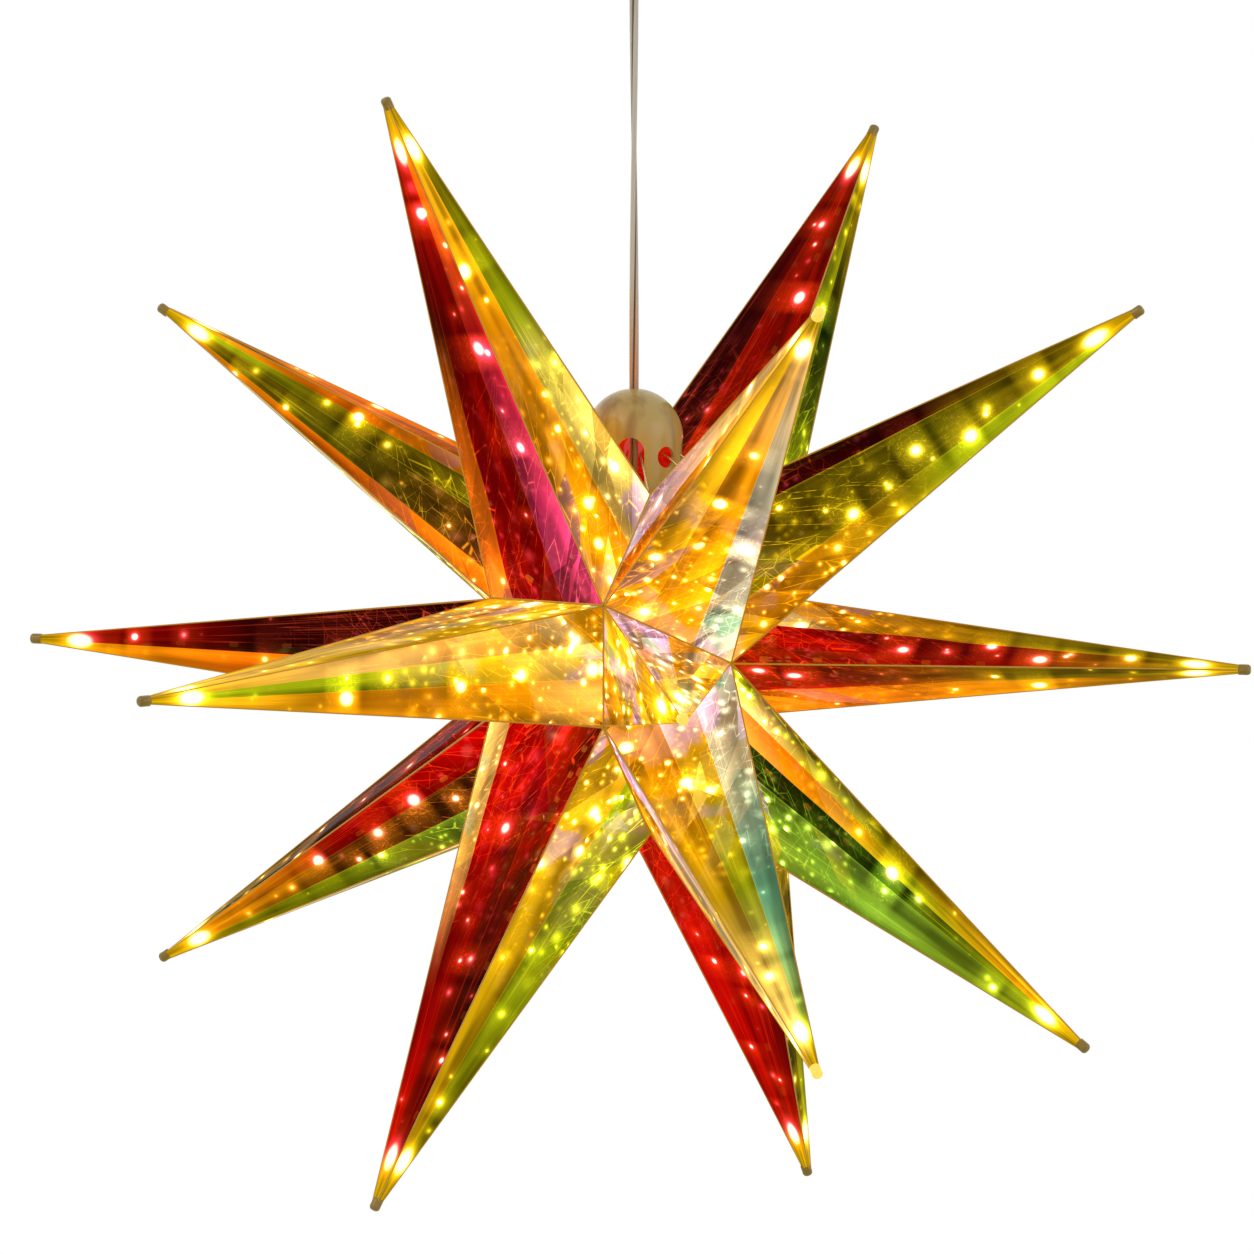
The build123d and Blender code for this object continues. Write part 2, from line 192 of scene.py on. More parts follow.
connect(screw_tree, knurl_height, knurl_bump.inputs["Height"])
connect(screw_tree, knurl_bump.outputs["Normal"], screw_shader.inputs["Normal"])
dress("canopy_screws", screw_plate)


# Cord grip and its nut: white nylon mouldings, screwed together through the hole in the canopy.
# The grip's round seat holds the ball stop on the cord's end, so the cord can swing.
nylon, _, nylon_shader = mottled_finish(
    "grip_nylon", paint(222, 220, 212), paint(236, 234, 226), (0.4, 0.52), grain=1300.0)
nylon_shader.inputs["Subsurface Weight"].default_value = 0.15
nylon_shader.inputs["Subsurface Radius"].default_value = (0.002, 0.002, 0.0015)
dress("cord_grip", nylon)
dress("grip_nut", nylon)


# Hanging cord: a clear twin lead, pulled straight by the star, with a slow twist in its two strands.
# Each strand is clear plastic round a copper core. A ball stop and a knot of the same plastic end it.
cord_top = -0.0303
cord_end = -0.24295
cord_width = 0.0046
strand_radius = 0.00125
strand_offset = 0.00105
strand_sides = 14
strand_weld = 0.000001
sort_way = Vector((0.37, 0.61, 1.0))
straight_run = 6 * cord_width
cord_twist = math.radians(200.0)
cord_turn = math.radians(25.0)
route = [
    (0, 0, cord_end), (0, 0, cord_end + straight_run),
    (0, 0, cord_top - straight_run), (0, 0, cord_top)]
route_curve = bpy.data.curves.new("cord_route", "CURVE")
route_curve.dimensions = "3D"
route_curve.resolution_u = 16
spline = route_curve.splines.new("NURBS")
spline.points.add(len(route) - 1)
for point, spot in zip(spline.points, route):
    point.co = (*spot, 1.0)
spline.order_u = 3
spline.use_endpoint_u = True
route_object = bpy.data.objects.new("cord_route", route_curve)
route_line = bpy.data.meshes.new_from_object(route_object)
cord_points = [vertex.co.copy() for vertex in route_line.vertices]
bpy.data.objects.remove(route_object)


def shape_strand(mesh, side):
    """One strand of the twin lead: a ring of points that is carried along the route and turned."""
    disc = bmesh.ops.create_circle(mesh, segments=strand_sides, radius=strand_radius, cap_ends=True)
    ring = disc["verts"]
    start = Matrix.Rotation(cord_turn, 4, "Z") @ Matrix.Translation((side * strand_offset, 0, 0))
    bmesh.ops.transform(mesh, matrix=Matrix.Translation(cord_points[0]) @ start, verts=ring)
    face = ring[0].link_faces[0]
    for before, after in zip(cord_points, cord_points[1:]):
        step = (after - before).length / (cord_top - cord_end) * cord_twist
        grown = bmesh.ops.extrude_discrete_faces(mesh, faces=[face])["faces"]
        sides = bmesh.ops.extrude_face_region(mesh, geom=grown)
        face = next(item for item in sides["geom"] if isinstance(item, bmesh.types.BMFace))
        bmesh.ops.delete(mesh, geom=grown, context="FACES_ONLY")
        bmesh.ops.translate(mesh, verts=face.verts, vec=after - before)
        bmesh.ops.rotate(mesh, verts=face.verts, cent=after, matrix=Matrix.Rotation(step, 3, "Z"))


def finish_mesh(mesh, name, body, *materials):
    """Turn a bmesh into a piece that moves with a body."""
    data = bpy.data.meshes.new(name)
    mesh.to_mesh(data)
    mesh.free()
    for material in materials:
        data.materials.append(material)
    piece = bpy.data.objects.new(name, data)
    bpy.context.scene.collection.objects.link(piece)
    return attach(piece, body)


def clear_plastic(name, tint, core, alpha):
    """Clear plastic, with the colour of its core showing through in soft patches."""
    material, _, shader = mottled_finish(name, tint, core, (0.08, 0.2), patch=220.0)
    shader.inputs["Alpha"].default_value = alpha
    shader.inputs["Coat Weight"].default_value = 0.5
    return material


cord_plastic, cord_tree, cord_shader = start_finish("clear_cord")
cord_place = cord_tree.nodes.new("ShaderNodeTexCoord")
cord_parts = cord_tree.nodes.new("ShaderNodeSeparateXYZ")
connect(cord_tree, cord_place.outputs["Object"], cord_parts.inputs[0])
cord_share = ramp(cord_tree, cord_parts.outputs["Z"], cord_end, cord_top)
cord_share.node.interpolation_type = "LINEAR"
cord_angle = calc(cord_tree, "MULTIPLY_ADD", cord_share, cord_twist, cord_turn)
cord_sides = [
    calc(cord_tree, "MULTIPLY", cord_parts.outputs[axis], calc(cord_tree, wave, cord_angle))
    for axis, wave in (("X", "COSINE"), ("Y", "SINE"))]
cord_side = calc(cord_tree, "ADD", *cord_sides)
# Painted shade: a dark brown line down the valley where the two strands meet, with paler strands either
# side.
cord_valley_shade = ramp(cord_tree, calc(cord_tree, "ABSOLUTE", cord_side), 0.0002, 0.0008)
cord_height = ramp(cord_tree, cord_share, 0.02, 0.3)
cord_pale = mix(cord_tree, cord_height, paint(214, 164, 132), paint(222, 216, 196))
cord_colour = mix(cord_tree, cord_valley_shade, paint(118, 92, 58), cord_pale)
connect(cord_tree, cord_colour, cord_shader.inputs["Base Color"])
cord_shader.inputs["Roughness"].default_value = 0.12
cord_shader.inputs["Coat Weight"].default_value = 0.5
cord_shader.inputs["Alpha"].default_value = 0.94
cord_mesh = bmesh.new()
for side in (-1, 1):
    shape_strand(cord_mesh, side)
bmesh.ops.remove_doubles(cord_mesh, verts=cord_mesh.verts, dist=strand_weld)
bmesh.ops.recalc_face_normals(cord_mesh, faces=cord_mesh.faces)
# Extruding leaves points and faces in no fixed order, so they are sorted along one direction.
cord_mesh.verts.sort(key=lambda vertex: vertex.co.dot(sort_way))
cord_mesh.faces.sort(key=lambda face: face.calc_center_median().dot(sort_way))
for face in cord_mesh.faces:
    face.smooth = len(face.verts) == 4
twin_cord = finish_mesh(cord_mesh, "twin_cord", "hanging_cord", cord_plastic)
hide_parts("hanging_cord")
tie_plastic = clear_plastic("clear_tie", paint(244, 226, 176), paint(214, 170, 92), 0.75)
for node in ("cord_stop", "cord_knot"):
    dress(node, tie_plastic)


# Dome cap: a cream, slightly see-through moulding that carries the star in its top opening.
# Light from the core shows in it as soft upright streaks.
dome_plastic, dome_tree, dome_shader = start_finish("dome_plastic")
dome_place = dome_tree.nodes.new("ShaderNodeTexCoord")
dome_stretch = dome_tree.nodes.new("ShaderNodeMapping")
dome_stretch.inputs["Scale"].default_value = (90.0, 90.0, 5.0)
connect(dome_tree, dome_place.outputs["Object"], dome_stretch.inputs["Vector"])
dome_streaks = dome_tree.nodes.new("ShaderNodeTexNoise")
dome_streaks.inputs["Scale"].default_value = 1.0
connect(dome_tree, dome_stretch.outputs["Vector"], dome_streaks.inputs["Vector"])
streak_share = ramp(dome_tree, dome_streaks.outputs["Fac"], 0.4, 0.68)
dome_colour = mix(dome_tree, streak_share, paint(186, 162, 92), paint(146, 112, 34))
connect(dome_tree, dome_colour, dome_shader.inputs["Base Color"])
connect(dome_tree, dome_colour, dome_shader.inputs["Emission Color"])
dome_shader.inputs["Emission Strength"].default_value = 0.15
dome_shader.inputs["Roughness"].default_value = 0.24
dome_shader.inputs["Subsurface Weight"].default_value = 0.2
dome_shader.inputs["Subsurface Radius"].default_value = (0.004, 0.003, 0.0015)
dress("dome_cap", dome_plastic)


# Hanger ties and supply lead: thin wires from the dome's skirt to the rim of the opening, and the
# clear lead that goes down from the cord's knot to the splice at the star's centre.
tie_steel, _, _ = mottled_finish(
    "tie_wire", paint(198, 176, 120), paint(222, 208, 164), (0.2, 0.35), metal=1.0)
dress("hanger_ties", tie_steel)
dress("supply_lead", cord_plastic)


# Light hub, lamp wires and lamps: a clear moulded splice with one thin wire out to each spike's tip.
# On each wire sit clear beads with a warm white lamp inside.
hub_plastic = clear_plastic("hub_plastic", paint(250, 226, 160), paint(232, 186, 92), 0.8)
dress("light_hub", hub_plastic)
wire_plastic = clear_plastic("lamp_wire", paint(244, 206, 120), paint(214, 156, 70), 0.7)
lamp_glow, _, lamp_shader = mottled_finish(
    "lamp_bead", paint(255, 236, 190), paint(255, 222, 150), (0.1, 0.2))
lamp_shader.inputs["Emission Color"].default_value = paint(255, 150, 40)
lamp_shader.inputs["Emission Strength"].default_value = 1.5
columns = ("front_left", "front_centre", "front_right", "back_right", "back_centre", "back_left")
rows = ("upper", "middle", "lower")
for column in columns:
    dress(f"light_wires_{column}", wire_plastic)
    dress(f"led_lamps_{column}", lamp_glow)


# Film spikes: hollow pyramids of thin film, folded to an edge at each corner and lapped along one seam.
# A thin coating makes the clear film shine red, amber or green by turns. The lamps inside light it up.
hub_low, hub_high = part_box("light_hub")
star_centre = Vector((0, 0, hub_low.z + (hub_high.x - hub_low.x) / 2))
film_thickness = 0.0004
weld = 0.00002
flat_angle = math.radians(2.0)
wall_length = 0.1
most_walls = 4
long_edge_limit = 0.9
rungs = 18
strip_columns = 2
film_slack = 0.0011
full_slack_depth = 0.12
end_on_spike = "front_right_middle"
end_on_stretch = 0.45
core_crumple = (0.12, 0.23)
film_tip_radius = 0.0019
tip_reach = 0.995
slack_scale = 24.0
tint_stops = (0.1, 0.45, 0.85)
seed_steps = 97.0
wall_levels = 61.0
film_bending = 1.025
streak_depth = 0.0006
fan_start = 0.012

# Scales of the film's textures, across and along it.
broad_streaks = (11.0, 9.0)
fine_streaks = (64.0, 4.0)
shard_scales = (70.0, 22.0)
border_scales = (120.0, 30.0)
web_scales = (60.0, 120.0)
sheen_patch_scales = (30.0, 22.0)
crinkle_scales = (300.0, 240.0)

# Lamp images on the film: places from the tip, distances and radii in metres.
tip_stretch = (0.006, 0.03)
tip_lamp_place = 0.024
tip_lamp_length = 0.0062
tip_lamp_width = 0.0032
row_start = (0.036, 0.05)
large_row = {"pitch": 0.022, "first": 0.058, "radius": 0.0024, "spread": 0.24}
small_row = {"pitch": 0.017, "first": 0.055, "radius": 0.0012, "spread": 0.3}
lamp_crowd = {"scale": 66.0, "contrast": 2.0, "radius": 0.0025}
spark_crowd = {"scale": 170.0, "contrast": 4.0, "radius": 0.0012}
row_contrast = 1.8
row_fall = 0.42
spot_fall = 0.9
lamp_shift = 0.5
core_power = 3.6
lamp_amber = paint(255, 186, 40)
lamp_white = paint(255, 244, 206)
lamp_pink = paint(255, 60, 130)

film_colours = {
    "scarlet": paint(156, 1, 1),
    "crimson": paint(198, 8, 22),
    "ruby": paint(110, 1, 1),
    "maroon": paint(40, 2, 2),
    "rose": paint(208, 52, 96),
    "orange": paint(222, 100, 4),
    "amber": paint(222, 136, 4),
    "brass": paint(186, 142, 6),
    "gold": paint(242, 180, 20),
    "peach": paint(228, 172, 84),
    "cream": paint(248, 206, 96),
    "olive": paint(108, 88, 2),
    "moss": paint(74, 68, 3),
    "leaf": paint(128, 136, 8),
    "sage": paint(108, 142, 34),
    "bottle": paint(20, 38, 2),
    "teal": paint(98, 160, 118),
    "lilac": paint(208, 160, 192),
    "smoke": paint(184, 172, 140),
    "umber": paint(66, 30, 2),
    "tip": paint(178, 138, 4),
}
sheen_steps = (
    (0.0, "gold"), (0.3, "amber"), (0.5, "peach"), (0.66, "cream"),
    (0.8, "lilac"), (0.88, "teal"), (0.94, "orange"))

# Film of each wall in strips, as (share of its width, colours at tip, middle and foot).
# A wall is named by the way it faces, seen from outside with the tip towards the eye.
# The paler colours towards the foot, such as cream, smoke and lilac, are partly the film's own tint and
# partly painted sheen and painted light from the core.
film_plan = {
    "front_centre_upper": {
        "lower": [(0.2, "scarlet maroon orange"), (0.46, "scarlet ruby scarlet"),
                  (0.34, "orange crimson rose")],
        "right": [(0.55, "gold amber amber"), (0.45, "olive leaf cream")],
    },
    "front_centre_middle": {
        "upper": [(0.6, "gold brass gold"), (0.4, "gold brass amber")],
        "right": [(0.4, "gold amber amber"), (0.3, "leaf leaf gold"), (0.3, "gold peach amber")],
        "lower": [(0.5, "amber orange amber"), (0.5, "gold amber gold")],
    },
    "front_centre_lower": {
        "upper": [(0.3, "ruby maroon scarlet"), (0.52, "scarlet ruby scarlet"),
                  (0.18, "scarlet scarlet peach")],
        "right": [(0.5, "olive leaf leaf"), (0.5, "brass brass gold")],
    },
    "front_right_upper": {
        "left": [(0.6, "peach peach lilac"), (0.4, "gold amber orange")],
        "lower": [(0.3, "gold gold amber"), (0.4, "peach amber amber"), (0.3, "peach smoke smoke")],
    },
    "front_right_middle": {
        "upper": [(0.5, "gold amber amber"), (0.5, "gold peach lilac")],
        "left": [(0.5, "gold amber gold"), (0.5, "gold gold amber")],
        "lower": [(0.6, "gold gold gold"), (0.4, "amber leaf amber")],
    },
    "front_right_lower": {
        "left": [(0.45, "peach brass lilac"), (0.55, "cream brass amber")],
        "upper": [(0.34, "leaf teal smoke"), (0.3, "cream leaf gold"), (0.36, "cream brass amber")],
    },
    "front_left_upper": {
        "right": [(0.18, "amber orange orange"), (0.42, "olive moss umber"),
                  (0.25, "leaf olive moss"), (0.15, "amber orange amber")],
        "upper": [(1.0, "olive orange umber")],
    },
    "front_left_middle": {
        "right": [(0.42, "amber orange orange"), (0.58, "scarlet maroon maroon")],
        "upper": [(1.0, "amber ruby maroon")],
    },
    "front_left_lower": {
        "right": [(0.3, "olive leaf sage"), (0.35, "amber umber umber"), (0.35, "amber ruby scarlet")],
        "upper": [(1.0, "olive umber ruby")],
    },
    "back_right_upper": {
        "left": [(0.17, "olive maroon maroon"), (0.53, "olive moss olive"), (0.3, "leaf leaf amber")],
        "lower": [(0.5, "gold leaf orange"), (0.5, "olive leaf amber")],
    },
    "back_right_middle": {
        "upper": [(0.4, "olive olive amber"), (0.6, "olive ruby scarlet")],
        "lower": [(0.55, "olive olive scarlet"), (0.45, "olive amber orange")],
    },
    "back_right_lower": {
        "upper": [(0.4, "gold leaf leaf"), (0.6, "amber leaf orange")],
        "left": [(0.18, "gold olive leaf"), (0.18, "amber leaf orange"),
                 (0.18, "leaf bottle bottle"), (0.46, "leaf sage sage")],
    },
    "back_centre_upper": {
        "upper": [(0.35, "ruby maroon maroon"), (0.65, "ruby ruby scarlet")],
        "left": [(0.5, "olive leaf olive"), (0.5, "olive bottle leaf")],
    },
    "back_centre_lower": {
        "lower": [(0.35, "scarlet ruby ruby"), (0.65, "scarlet scarlet scarlet")],
        "left": [(0.5, "leaf olive olive"), (0.5, "olive bottle amber")],
    },
}
for column, pattern in (("back_left", "front_right"), ("back_centre", "front_centre")):
    for row in rows:
        film_plan.setdefault(f"{column}_{row}", film_plan[f"{pattern}_{row}"])
plain_walls = {
    "right": [(0.55, "amber orange amber"), (0.45, "orange ruby scarlet")],
    "upper": [(0.5, "olive amber gold"), (0.5, "leaf leaf amber")],
    "left": [(0.6, "orange ruby scarlet"), (0.4, "amber amber rose")],
    "lower": [(0.45, "leaf sage leaf"), (0.55, "gold amber amber")],
}


def spike_walls(node):
    """Outer walls of a spike, by facing, as two feet and two tips, and the spike's heading."""
    source = bmesh.new()
    source.from_mesh(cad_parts[node].data)
    bmesh.ops.remove_doubles(source, verts=source.verts, dist=weld)
    bmesh.ops.dissolve_limit(source, angle_limit=flat_angle, verts=source.verts, edges=source.edges)
    spots = [vertex.co - star_centre for vertex in source.verts]
    reach = max(spot.length for spot in spots)
    heading = sum((spot for spot in spots if spot.length > tip_reach * reach), Vector()).normalized()
    sideways = Vector((0, 0, 1)).cross(heading).normalized()
    upwards = heading.cross(sideways)
    walls = {}
    for face in source.faces:
        points = [vertex.co.copy() for vertex in face.verts]
        levels = [(point - star_centre).dot(heading) for point in points]
        middle = face.calc_center_median() - star_centre
        outward = middle - heading * middle.dot(heading)
        if max(levels) - min(levels) < wall_length or face.normal.dot(outward) < 0:
            continue
        facing = math.degrees(math.atan2(face.normal.dot(upwards), face.normal.dot(sideways)))
        across = heading.cross(face.normal)
        points.sort(key=lambda point: (point - star_centre).dot(heading))
        feet = sorted(points[:2], key=lambda point: point.dot(across))
        tips = sorted(points[-2:], key=lambda point: point.dot(across))
        word = ("right", "upper", "left", "lower")[round(facing / 90) % 4]
        ends = []
        for tip in tips:
            axis = star_centre + heading * (tip - star_centre).dot(heading)
            ends.append(axis + (tip - axis).normalized() * film_tip_radius)
        walls[word] = (feet[0], feet[1], ends[1], ends[0])
    source.free()
    return walls, heading


def tint_at(colours, share):
    """Colour of a strip at a share of its length from the tip."""
    tints = [Vector(film_colours[colour]) for colour in colours.split()]
    if share < tint_stops[1]:
        part = (share - tint_stops[0]) / (tint_stops[1] - tint_stops[0])
        return tints[0].lerp(tints[1], min(max(part, 0), 1))
    part = (share - tint_stops[1]) / (tint_stops[2] - tint_stops[1])
    return tints[1].lerp(tints[2], min(max(part, 0), 1))


def build_spike(name, number):
    """The film of one spike: strips on each wall, slack between the folds, coloured from tip to foot."""
    walls, heading = spike_walls(f"spike_{name}")
    film = bmesh.new()
    plan_layer = film.loops.layers.uv.new("film_place")
    strip_place = film.loops.layers.uv.new("film_strip")
    tint_layer = film.loops.layers.float_color.new("film_tint")
    strip_layer = film.faces.layers.int.new("film_strip")
    strips = []
    tip_level = max((corner - star_centre).dot(heading) for wall in walls.values() for corner in wall)
    for wall_number, (facing, wall) in enumerate(walls.items()):
        first_foot, second_foot, second_tip, first_tip = wall
        seed = (most_walls * number + len(walls) + wall_number) / seed_steps
        start = 0.0
        for share, colours in film_plan[name].get(facing, plain_walls[facing]):
            corners = [
                first_foot.lerp(second_foot, start), first_foot.lerp(second_foot, start + share),
                first_tip.lerp(second_tip, start + share), first_tip.lerp(second_tip, start),
            ]
            face = film.faces.new([film.verts.new(corner) for corner in corners])
            face[strip_layer] = len(strips)
            widths = (first_foot - second_foot).length, (first_tip - second_tip).length
            shares = (start, start + share, start + share, start)
            for loop, width, part in zip(face.loops, (widths[0], widths[0], widths[1], widths[1]), shares):
                along = tip_level - (loop.vert.co - star_centre).dot(heading)
                loop[plan_layer].uv = ((part - 0.5) * width, along)
                loop[strip_place].uv = ((part - start) / share, 0.0)
            strips.append((colours, seed))
            start += share
    bmesh.ops.remove_doubles(film, verts=film.verts, dist=weld)
    long_edges = [edge for edge in film.edges if edge.calc_length() > wall_length]
    bmesh.ops.subdivide_edges(film, edges=long_edges, cuts=rungs, use_grid_fill=True)
    cross_edges = [
        edge for edge in film.edges
        if abs((edge.verts[0].co - edge.verts[1].co).normalized().dot(heading)) <= long_edge_limit]
    bmesh.ops.subdivide_edges(film, edges=cross_edges, cuts=strip_columns, use_grid_fill=True)
    film.normal_update()
    fold_points = {
        vertex for edge in film.edges for vertex in edge.verts
        if edge.is_boundary or edge.calc_face_angle(0) > flat_angle}
    for vertex in film.verts:
        if vertex not in fold_points:
            depth = tip_level - (vertex.co - star_centre).dot(heading)
            shift = noise.noise(vertex.co * slack_scale) * film_slack * min(1.0, depth / full_slack_depth)
            vertex.co += vertex.normal * shift
    length = max(loop[plan_layer].uv.y for face in film.faces for loop in face.loops)
    for face in film.faces:
        colours, seed = strips[face[strip_layer]]
        face.smooth = True
        for loop in face.loops:
            depth = loop[plan_layer].uv.y
            tint = tint_at(colours, depth / length)
            loop[tint_layer] = (tint[0], tint[1], tint[2], seed)
            crumple = (depth - core_crumple[0]) / (core_crumple[1] - core_crumple[0])
            loop[strip_place].uv.y = min(max(crumple, 0.0), 1.0)
            # The spike that points at the camera is painted with the core's shards, sheen, glints and light
            # along its whole length, with its patterns drawn out.
            if name == end_on_spike:
                loop[strip_place].uv.y = 1.0
                loop[plan_layer].uv.y = depth * end_on_stretch
    spike = finish_mesh(film, f"film_{name}", "star", film_finish, film_inside)
    thicken = spike.modifiers.new("film_thickness", "SOLIDIFY")
    thicken.thickness = film_thickness
    thicken.offset = -1.0
    thicken.material_offset = 1
    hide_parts(f"spike_{name}")
    return walls


def times(tree, *values):
    """Product of outputs and numbers."""
    total = values[0]
    for value in values[1:]:
        total = calc(tree, "MULTIPLY", total, value)
    return total


def plus(tree, *values):
    """Sum of outputs and numbers."""
    total = values[0]
    for value in values[1:]:
        total = calc(tree, "ADD", total, value)
    return total


def less(tree, first, second):
    """Difference of two outputs or numbers."""
    return calc(tree, "SUBTRACT", first, second)


def distance(tree, first, second):
    """Length of the slanted side over two lengths at a right angle."""
    return calc(tree, "SQRT", plus(tree, times(tree, first, first), times(tree, second, second)))


def channels(tree, colour):
    """The red, green and blue parts of a colour."""
    node = tree.nodes.new("ShaderNodeSeparateColor")
    connect(tree, colour, node.inputs[0])
    return node.outputs[0], node.outputs[1], node.outputs[2]


def spot_core(tree, share):
    """The bright middle of a lamp image, at a share of its radius."""
    return calc(tree, "EXPONENT", times(tree, share, share, -1.0))


def spot_halo(tree, share, fall):
    """The soft light round a lamp image, which falls off with the share of its radius."""
    return calc(tree, "EXPONENT", times(tree, share, -fall))


def thin_line(tree, value, width):
    """A line where a noise passes its middle value."""
    return ramp(tree, calc(tree, "ABSOLUTE", less(tree, value, 0.5)), 0.0, width, 1.0, 0.0)


def glow_group():
    """Painted images of the lamps on the film: a row of spots with a bright core and a soft halo."""
    group = bpy.data.node_groups.new("lamp_images", "ShaderNodeTree")
    for name in ("Across", "Along", "Seed", "Pitch", "First", "Radius", "Spread"):
        group.interface.new_socket(name, in_out="INPUT", socket_type="NodeSocketFloat")
    for name in ("Core", "Halo"):
        group.interface.new_socket(name, in_out="OUTPUT", socket_type="NodeSocketFloat")
    taken = group.nodes.new("NodeGroupInput").outputs
    given = group.nodes.new("NodeGroupOutput").inputs
    steps = calc(group, "DIVIDE", less(group, taken["Along"], taken["First"]), taken["Pitch"])
    step = calc(group, "ROUND", steps)
    key = group.nodes.new("ShaderNodeCombineXYZ")
    connect(group, step, key.inputs[0])
    connect(group, taken["Seed"], key.inputs[1])
    chance = group.nodes.new("ShaderNodeTexWhiteNoise")
    connect(group, key.outputs[0], chance.inputs["Vector"])
    along_chance, side_chance, power_chance = channels(group, chance.outputs["Color"])
    from_step = less(group, steps, step)
    shift = times(group, less(group, along_chance, 0.5), lamp_shift)
    along = times(group, less(group, from_step, shift), taken["Pitch"])
    offset = times(group, less(group, side_chance, 0.5), taken["Spread"], taken["Along"])
    away = distance(group, along, less(group, taken["Across"], offset))
    power = calc(group, "POWER", power_chance, row_contrast)
    share = calc(group, "DIVIDE", away, times(group, taken["Radius"], plus(group, power, 0.4)))
    to_next = calc(group, "ABSOLUTE", times(group, from_step, 2.0))
    halo = times(group, spot_halo(group, share, row_fall), ramp(group, to_next, 0.6, 1.0, 1.0, 0.0), power)
    connect(group, times(group, spot_core(group, share), power), given["Core"])
    connect(group, halo, given["Halo"])
    return group


def place_images(tree, across, along, seed, pitch, first, radius, spread):
    """One row of lamp images on the film."""
    node = tree.nodes.new("ShaderNodeGroup")
    node.node_tree = lamp_images
    for value, socket in zip((across, along, seed, pitch, first, radius, spread), node.inputs):
        connect(tree, value, socket)
    return node.outputs["Core"], node.outputs["Halo"]


def tinted(tree, colour, amount):
    """A colour times a value."""
    node = tree.nodes.new("ShaderNodeVectorMath")
    node.operation = "SCALE"
    connect(tree, colour if isinstance(colour, bpy.types.NodeSocket) else colour[:3], node.inputs[0])
    connect(tree, amount, node.inputs["Scale"])
    return node.outputs[0]


def joined(tree, operation, first, second):
    """One Vector Math node on two colours or points."""
    node = tree.nodes.new("ShaderNodeVectorMath")
    node.operation = operation
    connect(tree, first, node.inputs[0])
    connect(tree, second, node.inputs[1])
    return node.outputs["Value" if operation == "DOT_PRODUCT" else "Vector"]


def film_map(tree, layer):
    """The two values of one of the film's UV maps."""
    plan = tree.nodes.new("ShaderNodeUVMap")
    plan.uv_map = layer
    split = tree.nodes.new("ShaderNodeSeparateXYZ")
    connect(tree, plan.outputs[0], split.inputs[0])
    return split.outputs[0], split.outputs[1]


def film_point(tree, across, along, seed, scales):
    """A texture point on the film, with a scale each way and a level of its own for each wall."""
    node = tree.nodes.new("ShaderNodeCombineXYZ")
    connect(tree, times(tree, across, scales[0]), node.inputs[0])
    connect(tree, times(tree, along, scales[1]), node.inputs[1])
    connect(tree, times(tree, seed, wall_levels), node.inputs[2])
    return node.outputs[0]


def texture_at(tree, kind, point, **settings):
    """A noise or cell texture at a point."""
    node = tree.nodes.new(kind)
    for name, value in settings.items():
        setattr(node, name, value)
    node.inputs["Scale"].default_value = 1.0
    connect(tree, point, node.inputs["Vector"])
    return node


def film_noise(tree, *place, output="Fac"):
    """A noise over the film."""
    return texture_at(tree, "ShaderNodeTexNoise", film_point(tree, *place)).outputs[output]


def film_glint_lines(tree, width, *place):
    """Thin painted glint lines round the cells of a crackle over the film."""
    point = film_point(tree, *place)
    cells = texture_at(tree, "ShaderNodeTexVoronoi", point, feature="DISTANCE_TO_EDGE")
    return ramp(tree, cells.outputs["Distance"], 0.0, width, 1.0, 0.0)


def crowd_images(tree, across, along, seed, scale, contrast, radius):
    """Painted lamp images and glints strewn over the film, one to a cell, few of them bright."""
    shifted = calc(tree, "MULTIPLY_ADD", seed, 0.6, across)
    place = film_point(tree, shifted, along, seed, (scale, scale))
    cells = texture_at(tree, "ShaderNodeTexVoronoi", place, voronoi_dimensions="2D")
    power_chance, _, _ = channels(tree, cells.outputs["Color"])
    power = calc(tree, "POWER", power_chance, contrast)
    size = times(tree, plus(tree, power, 0.35), radius * scale)
    share = calc(tree, "DIVIDE", cells.outputs["Distance"], size)
    return times(tree, spot_core(tree, share), power), times(tree, spot_halo(tree, share, spot_fall), power)


def sheen_colour(tree, value):
    """The film's shifting colour and painted sheen for a value from 0 to 1. A new ramp already has its
    first two stops.
    """
    node = tree.nodes.new("ShaderNodeValToRGB")
    node.color_ramp.interpolation = "CONSTANT"
    stops = node.color_ramp.elements
    for index, (start, colour) in enumerate(sheen_steps):
        stop = stops[index] if index < 2 else stops.new(start)
        stop.position = start
        stop.color = film_colours[colour]
    connect(tree, value, node.inputs[0])
    return node.outputs[0]


